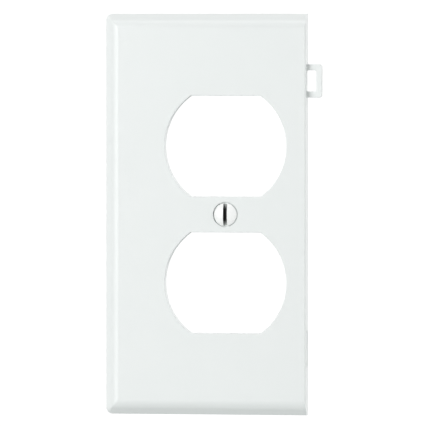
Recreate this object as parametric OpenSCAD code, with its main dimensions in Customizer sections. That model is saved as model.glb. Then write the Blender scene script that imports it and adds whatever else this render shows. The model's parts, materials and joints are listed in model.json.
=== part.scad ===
// Sectional end wall plate for a duplex receptacle, with its slotted oval-head screw.
// The plate stands in the XZ plane. Its front faces -Y and its rear rim lies on the wall at Y = 0.
// The origin is where the screw's axis meets the wall.

/* [Plate] */
// Height of the plate
plate_h = 114.3; // [100:0.1:140]
// Screw axis to the finished outer side
outer_w = 34.93; // [30:0.01:45]
// Screw axis to the side that joins the next plate
joint_w = 23.02; // [21.5:0.01:30]
// Depth from the wall to the front face
plate_d = 5.6; // [4.8:0.1:8]
// Thickness of the front
face_t = 2.0; // [1.2:0.1:2.4]
// Thickness of the side walls
wall_t = 1.8; // [1.2:0.1:2.4]

/* [Finished edges] */
// Width of the rolled border on the three finished sides
roll_run = 4.2; // [3.2:0.1:5]
// Radius where the front rolls into the sloped border
roll_r = 3.6; // [2.6:0.1:4.5]
// Slope of the border below the front face, in degrees
roll_slope = 48; // [35:1:55]
// Radius between the slope and the side wall
brow_r = 0.6; // [0.2:0.1:1]
// Radius of the two finished corners
corner_r = 1.8; // [1:0.1:3]
// Radius of the front edge on the joining side
joint_r = 0.5; // [0.2:0.1:0.8]

/* [Duplex openings] */
// Radius of the round sides of each opening
opening_r = 17.5; // [15:0.1:18.5]
// Distance between the flats at the top and bottom of each opening
opening_flats = 28.7; // [24:0.1:30]
// Distance between the centres of the two openings
opening_pitch = 38.9; // [37:0.1:50]
// Width of the raised lip behind each opening
lip_w = 1.2; // [0.8:0.1:1.6]
// Height of that lip above the back of the front
lip_h = 1.2; // [0.6:0.1:1.8]

/* [Ribs and boss] */
// Outer radius of the boss round the screw hole
boss_r = 4.6; // [4.3:0.1:6]
// Height of the boss above the back of the front
boss_h = 2.0; // [1:0.1:2.4]
// Thickness of the ribs
rib_t = 1.1; // [0.8:0.1:1.6]
// Height of the ribs above the back of the front
rib_h = 1.5; // [0.6:0.1:2]
// Distance from the plate's top and bottom to the cross ribs
rib_inset = 10; // [8:0.5:12]
// Radius of the raised marks that the mould's ejector pins leave
ejector_r = 1.8; // [1:0.1:3]
// Height of those marks
ejector_h = 0.15; // [0.1:0.05:0.3]

/* [Interlock] */
// Distance from the plate's top to the middle of the tab
tab_drop = 19.1; // [15:0.1:30]
// Height of the tab, along the joint
tab_h = 9.5; // [7:0.1:14]
// How far the tab stands out from the joining side
tab_reach = 4.4; // [3.6:0.1:6]
// Thickness of the tab, front to back
tab_t = 1.6; // [1:0.1:2]
// Width of the bars round the tab's window
tab_bar = 1.75; // [1.2:0.05:2]
// Radius of the tab's outer corners
tab_corner_r = 0.8; // [0.3:0.1:1.4]
// Clearance between a tab and the slot that it enters
tab_gap = 0.3; // [0.15:0.05:0.5]
// Chamfer at the slot's mouth that leads the tab in
slot_lead = 0.6; // [0.2:0.1:0.8]
// Height of the catch that holds the next plate's tab
catch_h = 0.75; // [0.5:0.05:1]

/* [Screw] */
// Diameter across the screw's head
head_d = 6.5; // [5.8:0.1:7.2]
// Height of the head's dome above its rim
dome_h = 1.0; // [0.6:0.1:1.6]
// Thickness of the head's rim
head_rim = 0.12; // [0.05:0.01:0.3]
// Full angle of the countersunk head, in degrees
head_angle = 82; // [70:1:100]
// Width of the driver slot
slot_w = 1.1; // [0.8:0.05:1.4]
// Depth of the driver slot below the top of the dome
slot_depth = 1.4; // [1:0.1:1.8]
// Length of the screw from the widest part of its head to its tip
screw_l = 12.7; // [9:0.1:20]
// Outside diameter of the thread
thread_d = 3.506; // [3:0.001:4.2]
// Pitch of the thread
thread_pitch = 0.79375; // [0.5:0.00001:1]
// Diameter of the plain neck behind the head
neck_d = 3.0; // [2.4:0.1:3.2]
// Diameter of the hole in the plate
hole_d = 4.0; // [3.7:0.1:5]
// Width of the ring of countersink that shows round the head
seat_ring = 0.3; // [0.15:0.05:0.5]
// Depth of the straight bore at the mouth of the countersink
seat_bore = 0.6; // [0.2:0.1:1]
// Play of the head along its axis in the countersink
seat_play = 0.1; // [0.05:0.01:0.2]

/* [Hidden] */
$fn = 96;
arc_steps = 8;                       // flats along each rolled edge

panel_colour = "#e8eeec";
screw_colour = "#f6f7f6";

plate_w = outer_w + joint_w;
over = 1;                            // how far a cut runs past the surface it opens
face_back = plate_d - face_t;        // height of the back of the front above the wall
half_pitch = opening_pitch / 2;

tab_z = plate_h / 2 - tab_drop;
tab_face = face_back - tab_gap;      // height of the tab's front above the wall
window_w = tab_reach - tab_bar;
window_h = tab_h - 2 * tab_bar;
window_r = tab_corner_r / 2;
catch_w = window_w - tab_gap;
catch_z = window_h - 2 * tab_gap;
slot_back = tab_face - tab_t - catch_h;        // leaves the tab room to lift over the catch

cone_tan = tan(head_angle / 2);
mouth_r = head_d / 2 + seat_ring;
cone_depth = (mouth_r - hole_d / 2) / cone_tan;
rim_sink = seat_ring / cone_tan - seat_play;   // how far the head's widest part lies below the front
dome_r = (pow(head_d / 2, 2) + pow(dome_h, 2)) / (2 * dome_h);
head_edge = -plate_d + rim_sink;               // Y of the head's widest part
dome_base = head_edge - head_rim;
cone_end = head_edge + (head_d - neck_d) / 2 / cone_tan;
screw_tip = head_edge + screw_l;

thread_r = thread_d / 2;
thread_depth = 0.6134 * thread_pitch;
crest_w = thread_pitch / 8;
flank_run = thread_depth * tan(30);
tip_taper = 0.6;
thread_start = -face_back + boss_h + 0.2;      // just clear of the boss, so that a nut can pass
turns = floor((screw_tip - tip_taper - thread_start) / thread_pitch);

// Points along an arc of a circle between two angles
function arc(centre, r, a0, a1, steps) =
    [for (i = [0 : steps]) let (a = a0 + (a1 - a0) * i / steps) centre + r * [cos(a), sin(a)]];

// Section of a block whose left end is a finished edge: u inward from the side wall, v up from the wall.
// It runs from u = 0 to u = reach and from v = base to v = top.
module rolled_section(base, top, run, r, brow, reach) {
    corner_u = run - r * tan(roll_slope / 2);
    drop = corner_u * tan(roll_slope);
    brow_v = top - drop - brow * tan((90 - roll_slope) / 2);
    polygon(concat([[0, base]],
        arc([brow, brow_v], brow, 180, 90 + roll_slope, arc_steps / 2),
        arc([run, top - r], r, 90 + roll_slope, 90, arc_steps),
        [[reach, top], [reach, base]]));
}

// Section of a block whose left end is square with one rounded front edge
module joint_section(base, top, r, reach) {
    polygon(concat([[0, base]], arc([r, top - r], r, 180, 90, arc_steps), [[reach, top], [reach, base]]));
}

// Solid with finished edges at the left, top and bottom and a plain edge on the joining side.
// It lies wall_in inside the plate's sides and face_in behind its front, and its rounds tighten inwards.
module shell_block(wall_in, face_in, base) {
    top = plate_d - face_in;
    run = roll_run - wall_in;
    r = roll_r - face_in;
    tighter = 1 - wall_in / wall_t / 2;
    left = outer_w - wall_in;
    right = joint_w - wall_in;
    half_h = plate_h / 2 - wall_in;
    intersection() {
        // across the plate
        linear_extrude(height = plate_h + 2 * over, center = true)
            intersection() {
                translate([-left, 0]) mirror([0, 1])
                    rolled_section(base, top, run, r, brow_r * tighter, left + right);
                translate([right, 0]) mirror([1, 0]) mirror([0, 1])
                    joint_section(base, top, joint_r * tighter, left + right);
            }
        // up the plate
        translate([-outer_w - over, 0, 0]) rotate([90, 0, 90])
            linear_extrude(height = plate_w + 2 * over)
                intersection_for(end = [0, 1])
                    mirror([0, end]) translate([0, -half_h]) rotate(90)
                        rolled_section(base, top, run, r, brow_r * tighter, 2 * half_h);
        // outline seen from the front
        translate([0, -base, 0]) rotate([90, 0, 0])
            linear_extrude(height = top - base)
                outline(left, right, half_h, corner_r * tighter);
    }
}

// Outline with its two outer corners rounded
module outline(left, right, half_h, corner) {
    polygon([[-left + corner, -half_h], [right, -half_h], [right, half_h], [-left + corner, half_h],
        [-left + corner, half_h - corner], [-left, half_h - corner],
        [-left, -half_h + corner], [-left + corner, -half_h + corner]]);
    for (end = [-1, 1])
        translate([-left + corner, end * (half_h - corner)])
            intersection() {
                circle(r = corner);
                translate([-2 * corner, end > 0 ? 0 : -2 * corner]) square(2 * corner);
            }
}

// Outline of one duplex opening, grown by a margin
module duplex_outline(margin) {
    intersection() {
        circle(r = opening_r + margin);
        square([2 * (opening_r + margin), opening_flats + 2 * margin], center = true);
    }
}

// Stands a front-view shape up on the plate, from one height above the wall to another
module raise(from, to) {
    translate([0, -from, 0]) rotate([90, 0, 0]) linear_extrude(height = to - from) children();
}

module rounded_rect(size, r) {
    translate([r, 0]) square([size[0] - 2 * r, size[1]]);
    translate([0, r]) square([size[0], size[1] - 2 * r]);
    for (x = [r, size[0] - r], y = [r, size[1] - r]) translate([x, y]) circle(r = r);
}

// Ribs, boss, lips and ejector marks behind the front. They run on into the front and the side walls.
module back_features() {
    rib_z = plate_h / 2 - rib_inset;
    reach_z = half_pitch + opening_flats / 2 + lip_w;
    for (side = [-1, 1])
        translate([0, 0, side * half_pitch])
            raise(face_back - lip_h, plate_d) duplex_outline(lip_w);
    raise(face_back - boss_h, plate_d) circle(r = boss_r);
    // one rib across at the screw, and one across each end
    for (z = [-rib_z, 0, rib_z])
        translate([-outer_w, 0, z - rib_t / 2])
            raise(face_back - rib_h, plate_d) square([plate_w, rib_t]);
    // short ribs from the openings' lips to the end ribs
    for (side = [-1, 1], x = [-opening_r / 2, opening_r / 2])
        translate([x - rib_t / 2, 0, side > 0 ? reach_z - lip_w : -rib_z])
            raise(face_back - rib_h, plate_d) square([rib_t, rib_z - reach_z + lip_w]);
    for (z = [-rib_z + 2 * ejector_r + rib_t, 0, rib_z - 2 * ejector_r - rib_t],
         x = [-outer_w + wall_t + 3 * ejector_r, joint_w - wall_t - 3 * ejector_r])
        translate([x, 0, z == 0 ? 2 * ejector_r + rib_t : z])
            raise(face_back - ejector_h, plate_d) circle(r = ejector_r);
}

// Tab of this plate, a loop that the next plate's catch snaps into
module interlock_tab() {
    root = wall_t / 2;
    translate([joint_w - root, 0, tab_z - tab_h / 2])
        raise(tab_face - tab_t, tab_face)
            difference() {
                rounded_rect([tab_reach + root, tab_h], tab_corner_r);
                translate([root, tab_bar]) rounded_rect([window_w, window_h], window_r);
            }
}

// Slot in the joining wall that lets the next plate's tab in. The wall's rear rim bridges it.
module interlock_slot() {
    inside = joint_w - wall_t - over;
    outside = joint_w + over;
    translate([0, 0, -tab_z - tab_h / 2 - tab_gap])
        linear_extrude(height = tab_h + 2 * tab_gap)
            polygon([[inside, -face_back], [outside, -face_back],
                [outside, -slot_back + slot_lead + over], [joint_w - slot_lead, -slot_back],
                [inside, -slot_back]]);
}

// Ramped catch in the slot, on the back of the front
module interlock_catch() {
    low = joint_w - tab_gap;
    high = low - catch_w;
    translate([0, 0, -tab_z - catch_z / 2])
        linear_extrude(height = catch_z)
            polygon([[low, -face_back - face_t / 2], [low, -face_back + catch_h / 4],
                [high + catch_w / 4, -face_back + catch_h], [high, -face_back + catch_h],
                [high, -face_back - face_t / 2]]);
}

// Hole and countersink for the screw
module screw_seat() {
    rotate([-90, 0, 0])
        rotate_extrude()
            polygon([[0, -plate_d - over], [mouth_r, -plate_d - over], [mouth_r, -plate_d + seat_bore],
                [mouth_r - seat_bore * cone_tan, -plate_d + seat_bore],
                [hole_d / 2, -plate_d + cone_depth], [hole_d / 2, over], [0, over]]);
}

// Moulded plate, one piece with its ribs, boss, tab and catch
module end_panel() {
    color(panel_colour)
        difference() {
            union() {
                difference() {
                    shell_block(0, 0, 0);
                    shell_block(wall_t, face_t, -over);
                    interlock_slot();
                }
                intersection() {
                    back_features();
                    shell_block(wall_t / 2, face_t / 2, 0);
                }
                interlock_tab();
                interlock_catch();
            }
            for (side = [-1, 1])
                translate([0, 0, side * half_pitch]) raise(-over, plate_d + over) duplex_outline(0);
            screw_seat();
        }
}

// Turned blank of the screw: dome, countersunk cone, plain neck and rolled thread, along +Y
module screw_body() {
    root_r = thread_r - thread_depth;
    thread_points = [for (i = [0 : turns - 1]) let (y = thread_start + i * thread_pitch)
        each [[root_r, y], [thread_r, y + flank_run], [thread_r, y + flank_run + crest_w],
            [root_r, y + 2 * flank_run + crest_w]]];
    rotate([-90, 0, 0])
        rotate_extrude() {
            polygon(concat(
                [[0, dome_base], [head_d / 2, dome_base], [head_d / 2, head_edge],
                    [neck_d / 2, cone_end], [neck_d / 2, thread_start - flank_run]],
                thread_points,
                [[root_r, screw_tip - tip_taper / 2], [root_r - tip_taper / 2, screw_tip],
                    [0, screw_tip]]));
            intersection() {
                translate([0, dome_base - dome_h + dome_r]) circle(r = dome_r);
                translate([0, dome_base - dome_h]) square([head_d / 2, dome_h]);
            }
        }
}

// Oval-head machine screw with a straight slot
module plate_screw() {
    color(screw_colour)
        difference() {
            screw_body();
            translate([-slot_w / 2, dome_base - dome_h - over, -head_d])
                cube([slot_w, slot_depth + over, 2 * head_d]);
        }
}

end_panel();
plate_screw();
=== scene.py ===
import json
from math import asin, cos, floor, pi, radians, sin, sqrt, tan

import bmesh
import bpy
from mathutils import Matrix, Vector


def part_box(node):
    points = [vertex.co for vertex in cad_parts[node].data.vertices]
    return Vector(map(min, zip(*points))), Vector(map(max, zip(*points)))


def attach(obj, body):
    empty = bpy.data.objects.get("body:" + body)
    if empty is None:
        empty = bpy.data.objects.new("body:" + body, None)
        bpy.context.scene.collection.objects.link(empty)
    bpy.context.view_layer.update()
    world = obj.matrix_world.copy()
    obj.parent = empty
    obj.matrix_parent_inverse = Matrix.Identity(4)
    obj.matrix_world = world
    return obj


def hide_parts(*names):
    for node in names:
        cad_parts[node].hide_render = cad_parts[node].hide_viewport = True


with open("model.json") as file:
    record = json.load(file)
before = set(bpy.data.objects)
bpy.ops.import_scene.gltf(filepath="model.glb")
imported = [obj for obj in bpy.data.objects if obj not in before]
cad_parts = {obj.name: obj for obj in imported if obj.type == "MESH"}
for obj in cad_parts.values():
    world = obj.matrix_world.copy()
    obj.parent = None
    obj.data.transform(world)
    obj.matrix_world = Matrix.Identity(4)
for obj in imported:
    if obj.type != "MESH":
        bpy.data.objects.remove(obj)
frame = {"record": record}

scene = bpy.context.scene
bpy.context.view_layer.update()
mounts = {m["name"]: m for m in frame["record"]["mounts"]}


# ---------------------------------------------------------------- Studio
# A pale floor well below the plate, a white tent that is brighter behind the plate than in front of it,
# and soft boxes: two at the left front, one above and one at the right. The camera stands a little to
# the plate's right and slightly above its middle.

plate_low, plate_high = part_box("end_panel")

camera_azimuth = radians(9)
camera_elevation = radians(1.6)
camera_distance = 1.9
picture_width = 0.12153           # width of what the camera sees at the plate
aim = Vector((-0.0034, plate_low.y, 0.0003))

floor_z = plate_low.z - 0.40
floor_half = 3.0
rise_from, rise_to = -0.3, 0.5    # the tent brightens between directions with these Y parts


def linear(hex_colour):
    """sRGB hex to linear red, green, blue and alpha."""
    parts = [int(hex_colour[i:i + 2], 16) / 255 for i in (1, 3, 5)]
    return [p / 12.92 if p <= 0.04045 else ((p + 0.055) / 1.055) ** 2.4 for p in parts] + [1.0]


def add_node(tree, kind, settings=None, **links):
    """Adds a node, sets its properties, then its inputs: a value is set, and a socket is linked.

    An input is named, with _ for a space, or numbered, as _0.
    """
    node = tree.nodes.new(kind)
    for key, value in (settings or {}).items():
        setattr(node, key, value)
    for name, value in links.items():
        socket = node.inputs[int(name[1:])] if name[1:].isdigit() else node.inputs[name.replace("_", " ")]
        if isinstance(value, bpy.types.NodeSocket):
            tree.links.new(value, socket)
        else:
            socket.default_value = value
    return node


def new_material(name):
    """A node material, its tree and its shader."""
    material = bpy.data.materials.new(name)
    material.use_nodes = True
    tree = material.node_tree
    tree.nodes.clear()
    shader = add_node(tree, "ShaderNodeBsdfPrincipled")
    add_node(tree, "ShaderNodeOutputMaterial", Surface=shader.outputs["BSDF"])
    return material, tree, shader


def set_up_camera():
    """Stands the camera back from its aim, with a lens that takes in the picture's width."""
    lens = bpy.data.cameras.new("camera")
    camera = bpy.data.objects.new("camera", lens)
    scene.collection.objects.link(camera)
    back = Vector((sin(camera_azimuth) * cos(camera_elevation),
                   -cos(camera_azimuth) * cos(camera_elevation), sin(camera_elevation)))
    camera.location = aim + back * camera_distance
    camera.rotation_euler = (-back).to_track_quat("-Z", "Y").to_euler()
    lens.sensor_width = 36
    lens.lens = lens.sensor_width * camera_distance / picture_width
    lens.clip_start, lens.clip_end = 0.05, 20
    scene.camera = camera


def soft_box(name, place, size, power):
    """A rectangular white area light that faces the plate."""
    light = bpy.data.lights.new(name, "AREA")
    light.shape = "RECTANGLE"
    light.size, light.size_y = size
    light.energy = power
    box = bpy.data.objects.new(name, light)
    scene.collection.objects.link(box)
    box.location = place
    box.rotation_euler = (-Vector(place)).to_track_quat("-Z", "Y").to_euler()


def white_tent(front, behind):
    """World light that rises from one level in front of the plate to another behind it."""
    world = bpy.data.worlds.new("white_tent")
    scene.world = world
    world.use_nodes = True
    tree = world.node_tree
    tree.nodes.clear()
    way = add_node(tree, "ShaderNodeTexCoord")
    parts = add_node(tree, "ShaderNodeSeparateXYZ", Vector=way.outputs["Generated"])
    level = add_node(tree, "ShaderNodeMapRange", {"interpolation_type": "SMOOTHSTEP"},
                     Value=parts.outputs["Y"], From_Min=rise_from, From_Max=rise_to,
                     To_Min=front, To_Max=behind)
    light = add_node(tree, "ShaderNodeBackground", Color=linear("#FFFFFF"),
                     Strength=level.outputs["Result"])
    add_node(tree, "ShaderNodeOutputWorld", Surface=light.outputs["Background"])


set_up_camera()
white_tent(front=0.11, behind=1.08)
soft_box("key_soft_box", place=(-0.95, -1.30, 0.15), size=(1.1, 1.2), power=13.6)
soft_box("fill_soft_box", place=(-0.72, -1.45, 0.35), size=(0.6, 0.6), power=5.4)
soft_box("top_soft_box", place=(0.0, -0.6, 1.4), size=(1.2, 0.5), power=5.6)
soft_box("right_soft_box", place=(1.3, -0.35, 0.1), size=(0.5, 1.2), power=7.6)

floor_mesh = bmesh.new()
bmesh.ops.create_grid(floor_mesh, x_segments=1, y_segments=1, size=floor_half)
bmesh.ops.translate(floor_mesh, verts=floor_mesh.verts, vec=(0, 0, floor_z))
floor_data = bpy.data.meshes.new("studio_floor")
floor_mesh.to_mesh(floor_data)
floor_mesh.free()
floor_object = bpy.data.objects.new("studio_floor", floor_data)
scene.collection.objects.link(floor_object)
# Matt paper, so that it takes soft shadows and no reflections.
floor_material, _, floor_shader = new_material("pale_paper")
floor_shader.inputs["Base Color"].default_value = linear("#B4B7B6")
floor_shader.inputs["Roughness"].default_value = 0.9
floor_data.materials.append(floor_material)
scene.view_settings.view_transform = "Standard"


# ---------------------------------------------------------------- End panel
# One white nylon moulding: a shallow tray whose front rolls down to three finished sides, with two
# duplex openings, a countersunk screw hole and, on its plain joining side, an interlock tab and a
# slot with a catch. Lips, ribs and a boss stiffen the back. The screw holds it to the receptacle.

left_x = plate_low.x
joint_x = mounts["interlock_slot"]["pos_m"][0]
top_z = plate_high.z
front_y = plate_low.y
face_thickness = 0.0020
wall_thickness = 0.0018
back_y = front_y + face_thickness      # back of the front
roll_run = 0.0042
roll_radius = 0.0036
roll_slope = radians(48)
brow_radius = 0.0006
corner_radius = 0.0018
mitre_radius = 0.0004                  # the mould's least radius where two rolled sides meet
joint_radius = 0.0005
rim_radius = 0.00015
over = 0.001                           # how far a cutter runs past the surface it opens
merge_distance = 1e-7
flat_angle = radians(0.1)              # faces nearer to one plane than this are joined
corner_steps = 12
brow_steps = 6
roll_steps = 20
edge_steps = 4                         # flats along a small rounded edge


def arc(centre, radius, start, end, steps):
    """Points along an arc between two angles, as pairs."""
    return [(centre[0] + radius * cos(start + (end - start) * i / steps),
             centre[1] + radius * sin(start + (end - start) * i / steps)) for i in range(steps + 1)]


def loft(outline, profile):
    """A closed solid: a face is drawn out step by step, and takes a new outline at each (margin, y)."""
    bm = bmesh.new()
    margin, y = profile[0]
    face = bm.faces.new([bm.verts.new((x, y, z)) for x, z in outline(margin, y)])
    for margin, y in profile[1:]:
        made = bmesh.ops.extrude_face_region(bm, geom=[face, *face.edges, *face.verts])["geom"]
        face = next(part for part in made if isinstance(part, bmesh.types.BMFace))
        for vert, (x, z) in zip(face.verts, outline(margin, y)):
            vert.co = (x, y, z)
    bmesh.ops.recalc_face_normals(bm, faces=bm.faces)
    return bm


def new_piece(name, bm):
    """Puts a bmesh into a new object at the origin."""
    mesh = bpy.data.meshes.new(name)
    bm.to_mesh(mesh)
    bm.free()
    made = bpy.data.objects.new(name, mesh)
    scene.collection.objects.link(made)
    return made


def remove_piece(piece):
    """Removes a piece and its mesh."""
    mesh = piece.data
    bpy.data.objects.remove(piece)
    bpy.data.meshes.remove(mesh)


def bake(piece):
    """Applies the piece's modifiers to its mesh."""
    bpy.context.view_layer.update()
    graph = bpy.context.evaluated_depsgraph_get()
    old, piece.data = piece.data, bpy.data.meshes.new_from_object(piece.evaluated_get(graph))
    piece.modifiers.clear()
    bpy.data.meshes.remove(old)


def combine(piece, operation, *solids):
    """Adds, cuts or intersects solids with the piece, one after another."""
    for bm in solids:
        tool = new_piece("tool", bm)
        step = piece.modifiers.new("step", "BOOLEAN")
        step.object, step.operation, step.solver = tool, operation, "MANIFOLD"
        bake(piece)
        remove_piece(tool)


def finish_mesh(piece, sharp_angle):
    """Merges flat neighbours, and shades the piece smooth except at its true edges."""
    bm = bmesh.new()
    bm.from_mesh(piece.data)
    bmesh.ops.remove_doubles(bm, verts=bm.verts, dist=merge_distance)
    bmesh.ops.dissolve_degenerate(bm, edges=bm.edges, dist=merge_distance)
    bmesh.ops.dissolve_limit(bm, angle_limit=flat_angle, use_dissolve_boundaries=False,
                             verts=bm.verts, edges=bm.edges, delimit={"MATERIAL"})
    for face in bm.faces:
        face.smooth = True
    for edge in bm.edges:
        edge.smooth = edge.calc_face_angle(0) < sharp_angle
    bm.to_mesh(piece.data)
    bm.free()
    normals = piece.modifiers.new("normals", "WEIGHTED_NORMAL")
    normals.keep_sharp = True
    normals.weight = 100               # the largest faces decide, so that flats look flat
    bake(piece)


def rounding(radius, depth):
    """How far a rounded edge stands back at a depth behind its face."""
    rest = radius - min(max(depth, 0), radius)
    return radius - sqrt(radius ** 2 - rest ** 2)


def tray(wall_in, face_in, start, rim_turn):
    """The plate's solid, or its hollow: three rolled sides, two rounded corners and a plain joint side.

    The profile starts at the rear rim. The rim turns inwards (1), outwards (-1) or not at all (0) on the
    joining side.
    """
    tighter = 1 - wall_in / wall_thickness / 2
    front = front_y + face_in
    run, radius, brow = roll_run - wall_in, roll_radius - face_in, brow_radius * tighter

    def outline(margin, y):
        left, top = left_x + wall_in - margin, top_z - wall_in + margin
        right = (joint_x - wall_in - rounding(joint_radius * tighter, y - front)
                 - rim_turn * rounding(rim_radius, -y))
        corner = max(corner_radius * tighter + margin, mitre_radius)
        upper = arc((left + corner, top - corner), corner, pi / 2, pi, corner_steps)
        lower = arc((left + corner, corner - top), corner, pi, 1.5 * pi, corner_steps)
        return [(right, -top), (right, top)] + upper + lower

    slope_start = run - radius * tan(roll_slope / 2)
    brow_y = front + slope_start * tan(roll_slope) + brow * tan((pi / 2 - roll_slope) / 2)
    brow_arc = arc((-brow, brow_y), brow, 0, roll_slope - pi / 2, brow_steps)
    roll_arc = arc((-run, front + radius), radius, roll_slope - pi / 2, -pi / 2, roll_steps)
    return loft(outline, start + brow_arc + roll_arc)


rim_out = arc((-rim_radius, -rim_radius), rim_radius, pi / 2, 0, edge_steps)
rim_in = [(rim_radius, over)] + arc((rim_radius, -rim_radius), rim_radius, pi / 2, pi, edge_steps)
panel = new_piece("nylon_end_panel", tray(0, 0, rim_out, 1))
combine(panel, "DIFFERENCE", tray(wall_thickness, face_thickness, rim_in, -1))

# Ribs, boss, lips and ejector marks stand on the back of the front, with filleted feet and rounded tops.
opening_radius = 0.0175
opening_half = 0.01435
opening_z = 0.01945
lip_width = 0.0012
lip_height = 0.0012
boss_radius = 0.0046
boss_height = 0.0020
rib_thickness = 0.0011
rib_height = 0.0015
rib_inset = 0.010
ejector_radius = 0.0018
ejector_height = 0.00015
foot_fillet = 0.00035
edge_radius = 0.0002
least_radius = 0.00004                 # what is left of a sharp corner
circle_steps = 96
opening_steps = 72                     # flats along each round side of an opening
rectangle_steps = 6
fillet_steps = 5


def disc(radius, x=0.0, z=0.0):
    """Outline of a circle, which ends one step short of where it starts."""
    def outline(margin, y):
        last = circle_steps - 1
        return arc((x, z), radius + margin, 0, 2 * pi * last / circle_steps, last)
    return outline


def rectangle(low, high, corner):
    """Outline of a rectangle with rounded corners, between two (x, z) corners."""
    def outline(margin, y):
        radius = max(corner + margin, least_radius)
        x0, z0, x1, z1 = (low[0] - margin + radius, low[1] - margin + radius,
                          high[0] + margin - radius, high[1] + margin - radius)
        places = ((x1, z1), (x0, z1), (x0, z0), (x1, z0))
        return [point for turn, centre in enumerate(places)
                for point in arc(centre, radius, turn * pi / 2, (turn + 1) * pi / 2, rectangle_steps)]
    return outline


def duplex(side, grown):
    """Outline of an opening: a circle cut off by two flats."""
    def outline(margin, y):
        radius, half = opening_radius + grown + margin, opening_half + grown + margin
        end = asin(half / radius)
        centre = (0, side * opening_z)
        return (arc(centre, radius, -end, end, opening_steps)
                + arc(centre, radius, pi - end, pi + end, opening_steps))
    return outline


def standing(outline, height, foot=foot_fillet, edge=edge_radius):
    """A raised feature on the back of the front."""
    top = back_y + height
    return loft(outline, [(foot, front_y + face_thickness / 2)]
                + arc((foot, back_y + foot), foot, -pi / 2, -pi, fillet_steps)
                + arc((-edge, top - edge), edge, 0, pi / 2, edge_steps))


def through(outline, front, back, edge):
    """A cutter that rounds both edges of the hole it makes."""
    return loft(outline, [(edge, front - over)]
                + arc((edge, front + edge), edge, -pi / 2, -pi, fillet_steps)
                + arc((edge, back - edge), edge, pi, pi / 2, fillet_steps)
                + [(edge, back + over + rib_height)])


rib_z = top_z - rib_inset
lip_z = opening_z + opening_half + lip_width
half_rib = rib_thickness / 2
ribs = new_piece("ribs", standing(disc(boss_radius), boss_height))
for side in (-1, 1):
    combine(ribs, "UNION", standing(duplex(side, lip_width), lip_height))
for z in (-rib_z, 0, rib_z):
    combine(ribs, "UNION",
            standing(rectangle((left_x, z - half_rib), (joint_x, z + half_rib), 0), rib_height))
for side in (-1, 1):
    z_low, z_high = sorted((side * (lip_z - lip_width), side * rib_z))
    for x in (-opening_radius / 2, opening_radius / 2):
        combine(ribs, "UNION",
                standing(rectangle((x - half_rib, z_low), (x + half_rib, z_high), 0), rib_height))
ejector_out = wall_thickness + 3 * ejector_radius       # clear of the walls
ejector_step = 2 * ejector_radius + rib_thickness       # clear of the ribs
for z in (ejector_step - rib_z, ejector_step, rib_z - ejector_step):
    for x in (left_x + ejector_out, joint_x - ejector_out):
        combine(ribs, "UNION", standing(disc(ejector_radius, x, z), ejector_height,
                                        ejector_height / 2, ejector_height / 3))
combine(ribs, "INTERSECT", tray(wall_thickness / 2, face_thickness / 2, [(0, 0)], 0))
ribs_mesh = bmesh.new()
ribs_mesh.from_mesh(ribs.data)
remove_piece(ribs)
combine(panel, "UNION", ribs_mesh)

# Interlock: a loop of nylon that springs over the catch in the next plate's slot.
tab_z = mounts["interlock_tab"]["pos_m"][2]
tab_end_x = plate_high.x
tab_half = 0.00475
tab_gap = 0.0003
tab_thickness = 0.0016
tab_bar = 0.00175
tab_corner = 0.0008
tab_edge = 0.0002
catch_height = 0.00075
catch_edge = 0.0001
tab_front = back_y + tab_gap
tab_back = tab_front + tab_thickness
window_x = tab_end_x - tab_bar
window_half = tab_half - tab_bar

tab_faces = (arc((-tab_edge, tab_front + tab_edge), tab_edge, -pi / 2, 0, edge_steps)
             + arc((-tab_edge, tab_back - tab_edge), tab_edge, 0, pi / 2, edge_steps))
tab = loft(rectangle((joint_x - wall_thickness / 2, tab_z - tab_half), (tab_end_x, tab_z + tab_half),
                     tab_corner), tab_faces)
window = through(rectangle((joint_x, tab_z - window_half), (window_x, tab_z + window_half),
                           tab_corner / 2), tab_front, tab_back, tab_edge)

slot_back = tab_back + catch_height    # leaves the next tab room to lift over the catch
slot_lead = 0.0006                     # chamfer that leads the tab in
slot_half = tab_half + tab_gap


def drawn_up(corners, low, high):
    """A prism: a front-to-back section, as (x, y) corners, drawn from one height to another."""
    bm = bmesh.new()
    section = bm.faces.new([bm.verts.new((x, y, low)) for x, y in corners])
    made = bmesh.ops.extrude_face_region(bm, geom=[section])["geom"]
    bmesh.ops.translate(bm, verts=[v for v in made if isinstance(v, bmesh.types.BMVert)],
                        vec=(0, 0, high - low))
    bmesh.ops.recalc_face_normals(bm, faces=bm.faces)
    return bm


inside, outside = joint_x - wall_thickness - over, joint_x + over
slot = drawn_up([(inside, back_y), (outside, back_y), (outside, slot_back + slot_lead + over),
                 (joint_x - slot_lead, slot_back), (inside, slot_back)],
                -tab_z - slot_half, -tab_z + slot_half)

catch_right = joint_x - tab_gap
catch_left = catch_right - (window_x - joint_x - tab_gap)
catch_half = window_half - tab_gap
catch = drawn_up([(catch_right, back_y - face_thickness / 2), (catch_right, back_y + catch_height / 4),
                  (catch_left + (catch_right - catch_left) / 4, back_y + catch_height),
                  (catch_left, back_y + catch_height), (catch_left, back_y - face_thickness / 2)],
                 -tab_z - catch_half, -tab_z + catch_half)
bmesh.ops.bevel(catch, geom=[e for e in catch.edges if max(v.co.y for v in e.verts) > back_y],
                offset=catch_edge, affect="EDGES", segments=3, profile=0.5, material=-1)

combine(panel, "DIFFERENCE", slot)
combine(panel, "UNION", tab, catch)
combine(panel, "DIFFERENCE", window)

# Openings and screw seat go right through, with the edges slightly rounded as moulded.
for side in (-1, 1):
    combine(panel, "DIFFERENCE", through(duplex(side, 0), front_y, back_y + lip_height, edge_radius))

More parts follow.
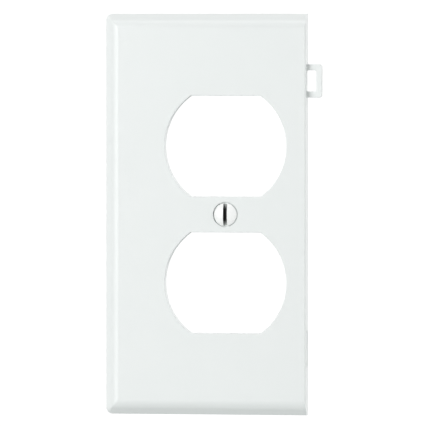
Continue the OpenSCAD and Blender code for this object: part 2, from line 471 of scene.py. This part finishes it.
head_half_angle = radians(41)
hole_radius = 0.0020
mouth_radius = 0.00355
seat_edge = 0.0001
boss_top = back_y + boss_height
seat_bore = 0.0006                     # straight part at the mouth
cone_slope = tan(head_half_angle)
combine(panel, "DIFFERENCE", loft(disc(0), [(mouth_radius + seat_edge, front_y - over)]
                                  + arc((mouth_radius + seat_edge, front_y + seat_edge), seat_edge,
                                        -pi / 2, -pi, fillet_steps)
                                  + [(mouth_radius, front_y + seat_bore),
                                     (mouth_radius - seat_bore * cone_slope, front_y + seat_bore),
                                     (hole_radius, front_y + (mouth_radius - hole_radius) / cone_slope)]
                                  + arc((hole_radius + edge_radius, boss_top - edge_radius), edge_radius,
                                        pi, pi / 2, edge_steps)
                                  + [(hole_radius + edge_radius, boss_top + over)]))
finish_mesh(panel, sharp_angle=radians(32))

# Nylon 6/6 from a polished mould: an even, slightly cool white that is glossy but soft, with a faint
# unevenness in its tone, gloss and level from the way the melt flowed.
nylon_white = "#EDF0EF"
nylon_shade = "#EAEEED"
flow_grain = 0.018
gloss_grain = 0.003
peel_grain = 0.0009                    # about twice the real ripple, so that it shows
peel_depth = 0.00003
noise_low, noise_high = 0.3, 0.7       # nearly all of a noise's values lie between these


def noise(tree, place, grain, detail, fade=0.5):
    """Noise with patches about one grain wide. Each finer layer is fainter by the fade."""
    return add_node(tree, "ShaderNodeTexNoise", Vector=place, Scale=1 / grain, Detail=detail,
                    Roughness=fade).outputs["Fac"]


def blend(tree, amount, first, second):
    """A colour between two others."""
    return add_node(tree, "ShaderNodeMix", {"data_type": "RGBA"}, _0=amount, _6=first, _7=second).outputs[2]


def spread(tree, value, low, high):
    """A noise's values, spread from low to high."""
    return add_node(tree, "ShaderNodeMapRange", Value=value, From_Min=noise_low, From_Max=noise_high,
                    To_Min=low, To_Max=high).outputs["Result"]


def bump(tree, height, depth, strength):
    """A surface whose level varies by up to the depth."""
    return add_node(tree, "ShaderNodeBump", Strength=strength, Distance=depth,
                    Height=height).outputs["Normal"]


def feed(tree, shader, **sources):
    """Links sockets to the shader's inputs."""
    for name, source in sources.items():
        tree.links.new(source, shader.inputs[name.replace("_", " ")])


nylon, tree, shader = new_material("moulded_nylon")
place = add_node(tree, "ShaderNodeTexCoord").outputs["Object"]
flow = noise(tree, place, flow_grain, detail=3.0)
gloss = noise(tree, place, gloss_grain, detail=4.0, fade=0.6)
peel = noise(tree, place, peel_grain, detail=2.0)
feed(tree, shader,
     Base_Color=blend(tree, flow, linear(nylon_white), linear(nylon_shade)),
     Roughness=spread(tree, gloss, low=0.30, high=0.38),
     Normal=bump(tree, peel, peel_depth, strength=0.12))
shader.inputs["IOR"].default_value = 1.53
panel.data.materials.clear()
panel.data.materials.append(nylon)
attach(panel, "panel")
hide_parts("end_panel")


# ---------------------------------------------------------------- Plate screw
# A no. 6-32 oval-head machine screw, cold-headed and thread-rolled in zinc-plated steel. Its head is
# sawn with one slot and enamelled white to match the plate. It threads into the receptacle's strap.

screw_low, screw_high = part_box("plate_screw")
head_radius = screw_high.x
tip_y = screw_high.y
dome_height = 0.0010
head_rim = 0.00012
rim_round = 0.00004
neck_radius = 0.0015
thread_radius = mounts["device_screw"]["dims"]["r_mm"] / 1000
thread_pitch = 0.00079375
thread_depth = 0.6134 * thread_pitch   # of a unified outside thread
thread_flank = radians(30)
thread_start = boss_top + 0.0002       # clear of the boss, so that the head can draw the plate down
runout = 0.0003
tip_taper = 0.0006
driver_half = 0.00055
driver_depth = 0.0014
saw_edge = 0.00008
dome_steps = 14
steps_per_turn = 72
tolerance = 1e-6

dome_radius = (head_radius ** 2 + dome_height ** 2) / (2 * dome_height)
dome_top = screw_low.y - dome_radius + sqrt(dome_radius ** 2 - driver_half ** 2)    # the slot cuts it away
dome_base = dome_top + dome_height
head_edge = dome_base + head_rim
neck_y = head_edge + (head_radius - neck_radius) / tan(head_half_angle)
root_radius = thread_radius - thread_depth
dome_end = asin(head_radius / dome_radius)


def turned(profile):
    """A closed solid of revolution about the screw's axis, from (radius, y) pairs that end on the axis."""
    bm = bmesh.new()
    verts = [bm.verts.new((radius, y, 0)) for radius, y in profile]
    edges = [bm.edges.new(pair) for pair in zip(verts, verts[1:])]
    bmesh.ops.spin(bm, geom=verts + edges, cent=(0, 0, 0), axis=(0, 1, 0), angle=2 * pi,
                   steps=circle_steps, use_merge=True)
    bmesh.ops.remove_doubles(bm, verts=bm.verts, dist=merge_distance)
    bmesh.ops.recalc_face_normals(bm, faces=bm.faces)
    return bm


dome = [(dome_radius * sin(turn), dome_top + dome_radius * (1 - cos(turn)))
        for turn in (dome_end * i / dome_steps for i in range(dome_steps + 1))]
blank = turned(dome + [(head_radius, head_edge), (neck_radius, neck_y), (neck_radius, thread_start),
                       (root_radius, thread_start + runout), (root_radius, tip_y - tip_taper / 2),
                       (root_radius - tip_taper / 2, tip_y), (0, tip_y)])
at_rim = [e for e in blank.edges
          if all(abs(sqrt(v.co.x ** 2 + v.co.z ** 2) - head_radius) < tolerance for v in e.verts)
          and abs(e.verts[0].co.y - e.verts[1].co.y) < tolerance]
bmesh.ops.bevel(blank, geom=at_rim, offset=rim_round, affect="EDGES", segments=3, profile=0.5, material=-1)

# The thread is one ridge wound round the shank, run out at the neck and chamfered at the tip.
half_crest = thread_pitch / 16         # the crest is an eighth of the pitch wide
half_foot = half_crest + thread_depth * tan(thread_flank)
sunk = root_radius - thread_depth / 4  # the ridge starts inside the shank, so that the two join
turns = 1 + floor((tip_y - thread_start) / thread_pitch)
ridge = bmesh.new()
section = ridge.faces.new([ridge.verts.new((radius, thread_start + y, 0)) for radius, y in (
    (sunk, -half_foot), (root_radius, -half_foot), (thread_radius, -half_crest),
    (thread_radius, half_crest), (root_radius, half_foot), (sunk, half_foot))])
bmesh.ops.spin(ridge, geom=[section], cent=(0, 0, 0), axis=(0, 1, 0), angle=2 * pi * turns,
               dvec=(0, thread_pitch / steps_per_turn, 0), steps=steps_per_turn * turns)
bmesh.ops.recalc_face_normals(ridge, faces=ridge.faces)
screw = new_piece("enamelled_plate_screw", ridge)
combine(screw, "INTERSECT", turned([
    (0, thread_start - runout / 2), (root_radius, thread_start - runout / 2),
    (thread_radius + runout / 2, thread_start + runout), (thread_radius + runout / 2, tip_y - tip_taper),
    (root_radius - tip_taper / 2, tip_y), (0, tip_y)]))
combine(screw, "UNION", blank)

saw = bmesh.new()
bmesh.ops.create_cube(saw, size=1)
bmesh.ops.scale(saw, verts=saw.verts, vec=(2 * driver_half, driver_depth + over, 4 * head_radius))
bmesh.ops.translate(saw, verts=saw.verts, vec=(0, dome_top + (driver_depth - over) / 2, 0))
bmesh.ops.bevel(saw, geom=[e for e in saw.edges if min(v.co.y for v in e.verts) > dome_top],
                offset=saw_edge, affect="EDGES", segments=3, profile=0.5, material=-1)
combine(screw, "DIFFERENCE", saw)

# Enamel baked on the head: harder and glossier than the nylon, a touch whiter, with a soft orange peel.
enamel_white = "#FDFEFD"
enamel_shade = "#FAFBFA"
enamel_grain = 0.002
orange_peel_grain = 0.0005
orange_peel_depth = 0.00002

enamel, tree, shader = new_material("white_enamel")
place = add_node(tree, "ShaderNodeTexCoord").outputs["Object"]
cloud = noise(tree, place, enamel_grain, detail=3.0)
peel = noise(tree, place, orange_peel_grain, detail=1.0)
feed(tree, shader,
     Base_Color=blend(tree, cloud, linear(enamel_white), linear(enamel_shade)),
     Roughness=spread(tree, cloud, low=0.20, high=0.28),
     Normal=bump(tree, peel, orange_peel_depth, strength=0.2))
shader.inputs["IOR"].default_value = 1.50

# The slot is sawn before the enamel goes on: steel with fine saw lines, painted near-black along its deep
# middle as painted shade, and grey at its two ends, partly thin enamel that runs in and partly painted
# light.
slot_painted_shade_deep = "#0E0E0F"
slot_painted_shade_soft = "#262627"
enamel_run_in_and_lit_end_grey = "#C9CDCB"
line_grain = 0.00012
line_depth = 0.00002
line_stretch = 0.06                    # draws the noise out along the slot
run_in_and_lit_end_from, run_in_and_lit_end_to = 0.0014, 0.0032
run_in_and_lit_end_cover = 0.9

slot_painted_shade_and_light, tree, shader = new_material("sawn_steel_painted_shade")
place = add_node(tree, "ShaderNodeTexCoord").outputs["Object"]
along = add_node(tree, "ShaderNodeMapping", Vector=place, Scale=(1.0, 1.0, line_stretch))
lines = noise(tree, along.outputs["Vector"], line_grain, detail=2.0, fade=0.6)
# painted shade: a near-black, finely lined blend that stands in for the shade deep inside the slot
steel = blend(tree, lines, linear(slot_painted_shade_deep), linear(slot_painted_shade_soft))
parts = add_node(tree, "ShaderNodeSeparateXYZ", Vector=place)
from_middle = add_node(tree, "ShaderNodeMath", {"operation": "ABSOLUTE"}, _0=parts.outputs["Z"])
# grey towards the slot's ends: partly thin enamel that runs in, partly painted light where the shallow ends
# catch light
run_in_and_lit_ends = add_node(tree, "ShaderNodeMapRange", {"interpolation_type": "SMOOTHSTEP"},
                  Value=from_middle.outputs["Value"], From_Min=run_in_and_lit_end_from, From_Max=run_in_and_lit_end_to,
                  To_Min=0.0, To_Max=run_in_and_lit_end_cover)
feed(tree, shader,
     Base_Color=blend(tree, run_in_and_lit_ends.outputs["Result"], steel, linear(enamel_run_in_and_lit_end_grey)),
     Normal=bump(tree, lines, line_depth, strength=0.4))
shader.inputs["Roughness"].default_value = 0.5

# Zinc plate on rolled steel: a pale blue-grey metal with a slightly cloudy, even sheen.
zinc_light = "#C6C9CD"
zinc_dark = "#AEB2B7"
zinc_grain = 0.0012
zinc_depth = 0.00001

zinc, tree, shader = new_material("zinc_plated_steel")
place = add_node(tree, "ShaderNodeTexCoord").outputs["Object"]
cloud = noise(tree, place, zinc_grain, detail=4.0, fade=0.6)
feed(tree, shader,
     Base_Color=blend(tree, cloud, linear(zinc_light), linear(zinc_dark)),
     Roughness=spread(tree, cloud, low=0.28, high=0.42),
     Normal=bump(tree, cloud, zinc_depth, strength=0.15))
shader.inputs["Metallic"].default_value = 1.0

screw.data.materials.clear()
screw_materials = [enamel, slot_painted_shade_and_light, zinc]
for material in screw_materials:
    screw.data.materials.append(material)
# the slot's faces take the slot material with its painted shade and painted light
slot_floor = dome_top + driver_depth
for face in screw.data.polygons:
    corners = [screw.data.vertices[i].co for i in face.vertices]
    if all(abs(c.x) < driver_half + tolerance and c.y < slot_floor + tolerance for c in corners):
        surface = slot_painted_shade_and_light
    elif min(c.y for c in corners) > neck_y - 10 * tolerance:
        surface = zinc
    else:
        surface = enamel
    face.material_index = screw_materials.index(surface)
finish_mesh(screw, sharp_angle=radians(30))
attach(screw, "screw")
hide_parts("plate_screw")
